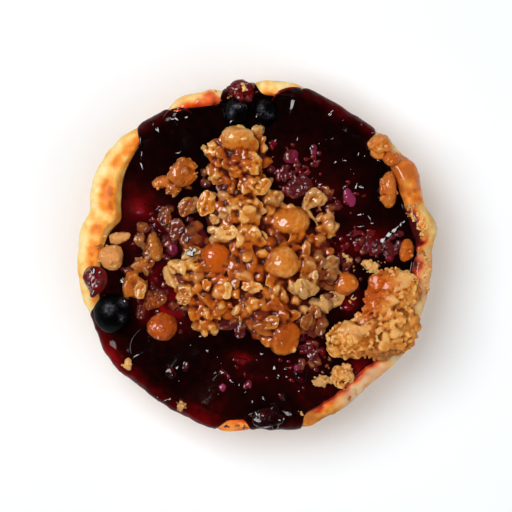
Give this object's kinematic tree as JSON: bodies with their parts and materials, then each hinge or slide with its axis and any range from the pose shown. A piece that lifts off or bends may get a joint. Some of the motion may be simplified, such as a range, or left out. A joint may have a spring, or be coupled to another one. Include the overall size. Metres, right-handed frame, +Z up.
{
  "type": "berry crumble tart",
  "caption": "Round single-serving tart: shortcrust case, dark berry filling run over the rim in places, whole berries and an oat crumble topping.",
  "frame": {"origin": "middle of the flat underside", "axes": "+Z up through the filling; seen from above +Y points to the top of the picture and +X to its right"},
  "size_m": [0.1005, 0.0992, 0.0326],
  "materials": {
    "pastry": "golden baked shortcrust, browned towards the top of the rim",
    "filling": "glossy set berry filling, nearly black where deep and crimson where thin",
    "blueberry": "blue-black skin with a pale bloom, wet with glaze",
    "soft_berry": "soft berry beads under glaze",
    "crumble": "amber oat crumble, glazed in the middle and dry and pale at the south-east"
  },
  "bodies": {
    "root": {"pastry_case": "pastry", "berry_filling": "filling", "blueberry_west": "blueberry", "blueberry_north_west": "blueberry", "blueberry_north_east": "blueberry", "soft_berry_north": "soft_berry", "soft_berry_west": "soft_berry", "soft_berry_south": "soft_berry", "crumble_chunk_north_west": "crumble", "crumble_ball_south_west": "crumble", "crumble_ball_west": "crumble", "oat_flake_west": "crumble", "oat_clump_west": "crumble", "oat_bit_west": "crumble", "crumble_lump_west": "crumble", "crumble_lump_north_east": "crumble", "crumble_lump_east": "crumble", "crumble_bit_east": "crumble", "crumb_east": "crumble", "crumble_piece_south_east": "crumble", "crumb_south_west": "crumble", "crumb_south": "crumble", "crumble_slab": "crumble", "crumble_heap": "crumble"}
  },
  "joints": []
}
